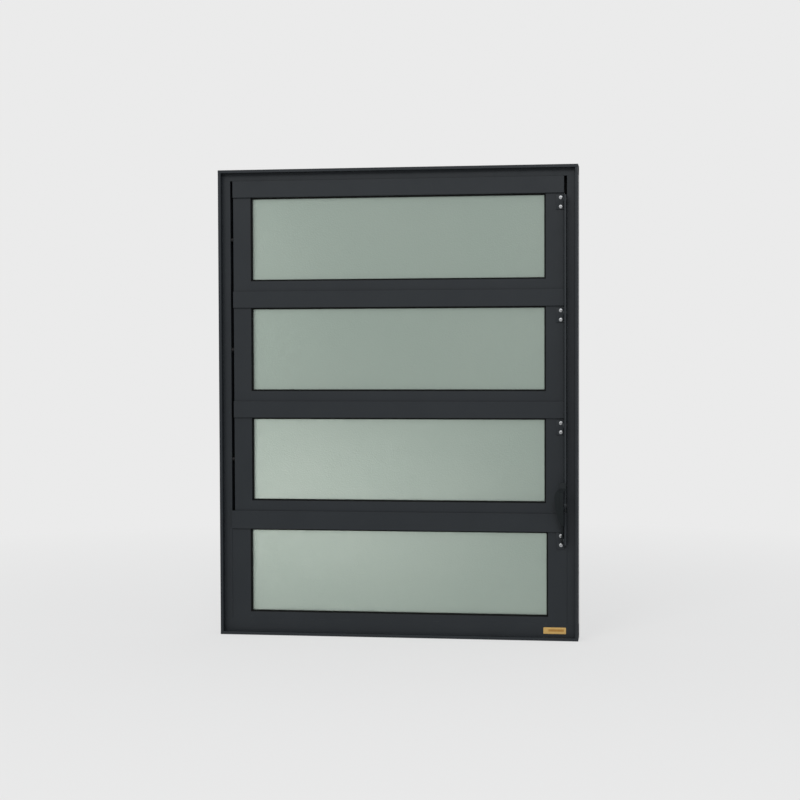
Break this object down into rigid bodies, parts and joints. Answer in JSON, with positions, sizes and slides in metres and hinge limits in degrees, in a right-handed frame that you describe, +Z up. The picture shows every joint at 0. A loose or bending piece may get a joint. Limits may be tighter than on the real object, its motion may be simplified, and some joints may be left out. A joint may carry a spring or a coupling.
{
  "type": "pivot window",
  "caption": "Aluminium pivot window: tilting sashes linked by a control rod and lever, over a fixed light, with obscured glass.",
  "frame": {"origin": "middle of the underside of the sill, halfway through the frame's depth", "axes": "+X to the right as seen from the room, +Y out of the room, +Z up"},
  "size_m": [0.616, 0.0712, 0.8],
  "materials": {
    "dark_paint": "satin powder coat",
    "lever_paint": "satin paint on a casting",
    "obscured_glass": "satin obscured",
    "glazing_rubber": "matt",
    "bare_aluminium": "bright",
    "black_steel": "blackened, oiled",
    "nylon": "moulded"
  },
  "bodies": {
    "frame": {"head": "dark_paint", "sill": "dark_paint", "jamb_left": "dark_paint", "jamb_right": "dark_paint", "fixed_top_rail": "dark_paint", "fixed_bottom_rail": "dark_paint", "fixed_stile_left": "dark_paint", "fixed_stile_right": "dark_paint", "fixed_glass": "obscured_glass", "fixed_gasket": "glazing_rubber", "lever_base": "dark_paint", "lever_base_rivets": "bare_aluminium", "pivot_bushes": "nylon", "side_seals": "glazing_rubber"},
    "sash_1": {"sash_1_top_rail": "dark_paint", "sash_1_bottom_rail": "dark_paint", "sash_1_stile_left": "dark_paint", "sash_1_stile_right": "dark_paint", "sash_1_glass": "obscured_glass", "sash_1_gasket": "glazing_rubber", "sash_1_arm": "dark_paint", "sash_1_arm_rivets": "bare_aluminium", "sash_1_pivot_pins": "black_steel"},
    "sash_2": {"sash_2_top_rail": "dark_paint", "sash_2_bottom_rail": "dark_paint", "sash_2_stile_left": "dark_paint", "sash_2_stile_right": "dark_paint", "sash_2_glass": "obscured_glass", "sash_2_gasket": "glazing_rubber", "sash_2_arm": "dark_paint", "sash_2_arm_rivets": "bare_aluminium", "sash_2_pivot_pins": "black_steel"},
    "sash_3": {"sash_3_top_rail": "dark_paint", "sash_3_bottom_rail": "dark_paint", "sash_3_stile_left": "dark_paint", "sash_3_stile_right": "dark_paint", "sash_3_glass": "obscured_glass", "sash_3_gasket": "glazing_rubber", "sash_3_arm": "dark_paint", "sash_3_arm_rivets": "bare_aluminium", "sash_3_pivot_pins": "black_steel"},
    "lever": {"lever": "lever_paint", "lever_pins": "black_steel"},
    "control_rod": {"control_rod": "dark_paint"}
  },
  "joints": [
    {"name": "sash_1_tilt", "type": "hinge", "parent": "frame", "child": "sash_1", "pos_m": [0, -0.006, 0.6814], "axis": [1, 0, 0], "range_deg": [0, 65]},
    {"name": "sash_2_tilt", "type": "hinge", "parent": "frame", "child": "sash_2", "pos_m": [0, -0.006, 0.4922], "axis": [1, 0, 0], "range_deg": [0, 65]},
    {"name": "sash_3_tilt", "type": "hinge", "parent": "frame", "child": "sash_3", "pos_m": [0, -0.006, 0.303], "axis": [1, 0, 0], "range_deg": [0, 65]},
    {"name": "lever_tilt", "type": "hinge", "parent": "frame", "child": "lever", "pos_m": [0.2838, -0.0185, 0.17], "axis": [1, 0, 0], "range_deg": [0, 65]},
    {"name": "rod_swing", "type": "hinge", "parent": "lever", "child": "control_rod", "pos_m": [0.2868, -0.0335, 0.23], "axis": [1, 0, 0], "range_deg": [-65, 0]}
  ],
  "couplings": [
    {"joint": "sash_2_tilt", "follows": "sash_1_tilt", "ratio": 1},
    {"joint": "sash_3_tilt", "follows": "sash_1_tilt", "ratio": 1},
    {"joint": "lever_tilt", "follows": "sash_1_tilt", "ratio": 1},
    {"joint": "rod_swing", "follows": "sash_1_tilt", "ratio": -1}
  ]
}
